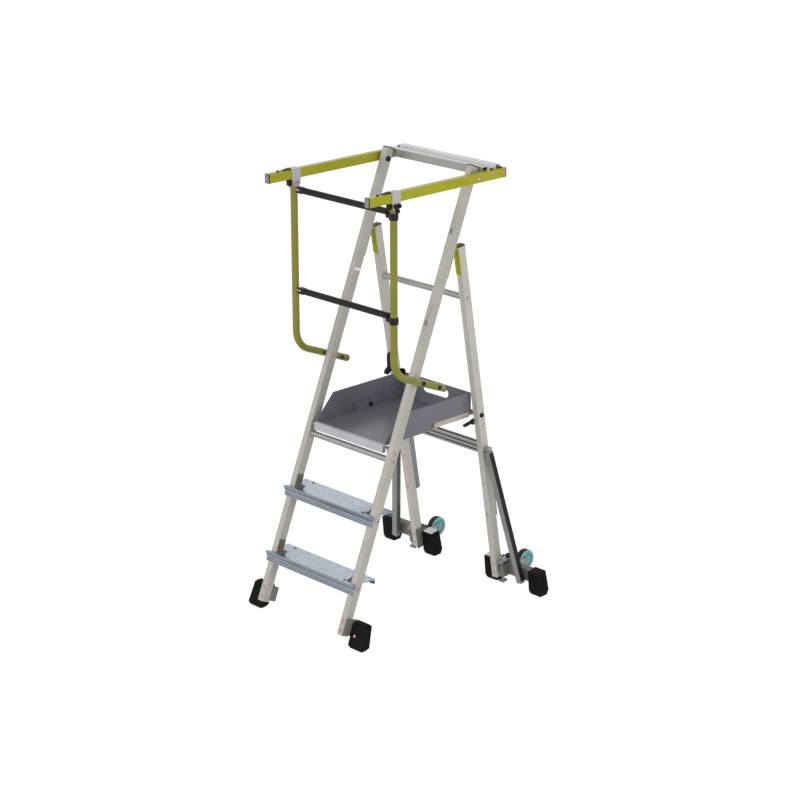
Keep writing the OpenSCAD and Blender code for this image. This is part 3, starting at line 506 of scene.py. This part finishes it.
# ---- pieces on the rear frame ----
def add_leg_details():
    plates = both(lambda s: [placed(box_mesh((0.0022, 0.038, 0.088)),
                                    leg_matrix(0, 0)
                                    @ Matrix.Translation((s * 0.2129, 0.001, 0.074)))])
    group("leg_plates", "rear_frame", BRACKET_COAT, plates)
    caps = both(lambda s: [placed(box_mesh((0.046, 0.038, 0.0040)),
                                  leg_matrix(0, 0)
                                  @ Matrix.Translation((s * INNER_FOOT_X, 0.0325, 0.1028)))])
    group("foot_caps", "rear_frame", WHITE_PLASTIC, caps)
    z = 0.752
    y = LEG_Y0 - z * math.tan(LEG_LEAN)
    knobs = both(lambda s: [placed(dome(0.0096, 0.0066), facing_x(s * 0.2399, y, z, s))])
    group("link_bolt_caps", "rear_frame", BLACK_PLASTIC, knobs, True)
    # Dark strips on the front and top of the crossbar: painted shade for its grooves and its darker
    # top face.
    bar = leg_matrix(0, CROSSBAR_Z)
    strips = [placed(box_mesh((0.426, 0.0006, 0.0056)), bar @ Matrix.Translation((0, -0.0113, dz)))
              for dz in (-0.009, 0.009)]
    strips.append(placed(box_mesh((0.426, 0.011, 0.0005)),
                         bar @ Matrix.Translation((0, 0, 0.0212))))
    group("crossbar_shade_strips", "rear_frame", DARK_PAINT_AND_SHADE, strips)


def add_strut_sides():
    # Thin sheets on both sides of each strut carry painted shade: near-black outside, dark blue-grey
    # shade and reflection inside.
    for side, name in ((-1, "left"), (1, "right")):
        middle = Matrix.Translation((0, 0, STRUT_MIDDLE))
        panel = box_mesh((0.0012, 0.0212, 0.556))
        outer = Matrix.Translation((side * STRUT_FACE, 0, 0))
        inner = Matrix.Translation((-side * STRUT_FACE, 0, 0))
        base = strut_matrix(side) @ middle
        group(f"strut_shade_outer_{name}", f"outrigger_{name}", STRUT_OUTER_SHADE, [placed(panel, base @ outer)])
        group(f"strut_shade_inner_{name}", f"outrigger_{name}", STRUT_INNER_SHADE, [placed(panel, base @ inner)])


def add_wheel_details():
    for side, name in ((-1, "left"), (1, "right")):
        body = f"wheel_set_{name}"
        faces = (-1, 1)
        rims = [placed(ring(0.0335, 0.0408, 0.0008),
                       facing_x(side * WHEEL_X + f * 0.0119, AXLE_Y, AXLE_Z, f))
                for f in faces]
        group(f"wheel_rims_{name}", body, RIM_RUBBER, rims, True)
        webs = []
        for f in faces:
            for i in range(5):
                turn = Matrix.Rotation(i * 2 * math.pi / 5, 4, "Z")
                web = placed(box_mesh((0.018, 0.0035, 0.0028)), Matrix.Translation((0.021, 0, 0)))
                face = facing_x(side * WHEEL_X + f * 0.0088, AXLE_Y, AXLE_Z, f)
                webs.append(placed(web, face @ turn))
        group(f"wheel_webs_{name}", body, WHEEL_PLASTIC, webs)


# ---- camera and light ----
def add_camera():
    right = Vector((0.69936, 0.71476, -0.00167))
    up = Vector((-0.22811, 0.22541, 0.94718))
    forward = Vector((-0.67739, 0.66204, -0.32069))
    data = bpy.data.cameras.new("camera")
    data.sensor_width = 36
    data.lens = 101.36
    cam = bpy.data.objects.new("camera", data)
    bpy.context.collection.objects.link(cam)
    turn = Matrix((right, up, -forward)).transposed().to_4x4()
    cam.matrix_world = Matrix.Translation((5.9557, -5.7984, 3.6259)) @ turn
    bpy.context.scene.camera = cam


def area_light(name, place, target, size, power, color=(1, 1, 1)):
    data = bpy.data.lights.new(name, "AREA")
    data.shape = "RECTANGLE"
    data.size, data.size_y = size
    data.energy = power
    data.color = color
    obj = bpy.data.objects.new(name, data)
    bpy.context.collection.objects.link(obj)
    aim = (Vector(target) - Vector(place)).to_track_quat("-Z", "Y")
    obj.matrix_world = Matrix.Translation(place) @ aim.to_matrix().to_4x4()
    return obj


def add_stage():
    mesh = bpy.data.meshes.new("floor")
    verts, faces = [(-60, -60, 0), (60, -60, 0), (60, 60, 0), (-60, 60, 0)], [(0, 1, 2, 3)]
    mesh.from_pydata(verts, [], faces)
    mat, tree, bsdf = new_material("floor")
    bsdf.inputs["Base Color"].default_value = (0.30, 0.30, 0.30, 1)
    bsdf.inputs["Roughness"].default_value = 0.95
    bsdf.inputs["Emission Color"].default_value = (1, 1, 1, 1)
    rays = tree.nodes.new("ShaderNodeLightPath")
    glow = remap(tree, rays.outputs["Is Camera Ray"], 0.35, 0.90, 0, 1)
    tree.links.new(glow, bsdf.inputs["Emission Strength"])
    mesh.materials.append(mat)
    floor = bpy.data.objects.new("floor", mesh)
    bpy.context.collection.objects.link(floor)
    world = bpy.data.worlds.new("world")
    world.use_nodes = True
    tree = world.node_tree
    # The sky is bright at the horizon and dark overhead.
    way = tree.nodes.new("ShaderNodeTexCoord")
    split = tree.nodes.new("ShaderNodeSeparateXYZ")
    tree.links.new(way.outputs["Generated"], split.inputs[0])
    sky = remap(tree, split.outputs[2], 0.85, 0.45, 0.05, 0.75)
    tree.links.new(sky, tree.nodes["Background"].inputs[1])
    tree.nodes["Background"].inputs[0].default_value = (1, 1, 1, 1)
    bpy.context.scene.world = world
    # A broad front key, a side fill, and a faint panel that the treads mirror.
    area_light("key", (-1.2, -6.5, 2.6), (0, 0, 0.8), (3, 3), 120)
    area_light("fill", (6.5, -0.5, 2.0), (0, 0, 0.8), (2.5, 3), 95)
    area_light("back", (-4.6, 3.6, 3.6), (0, 0, 0.8), (2.4, 1.4), 9)
    bpy.context.scene.view_settings.view_transform = "Standard"


dress_nodes()
add_bolt_details()
add_rail_end_faces()
add_stile_marks()
add_tread_rivets()
add_foot_bolts()
add_stile_grooves()
add_lip_lines()
add_tray_details()
add_leg_details()
add_strut_sides()
add_wheel_details()
add_camera()
add_stage()
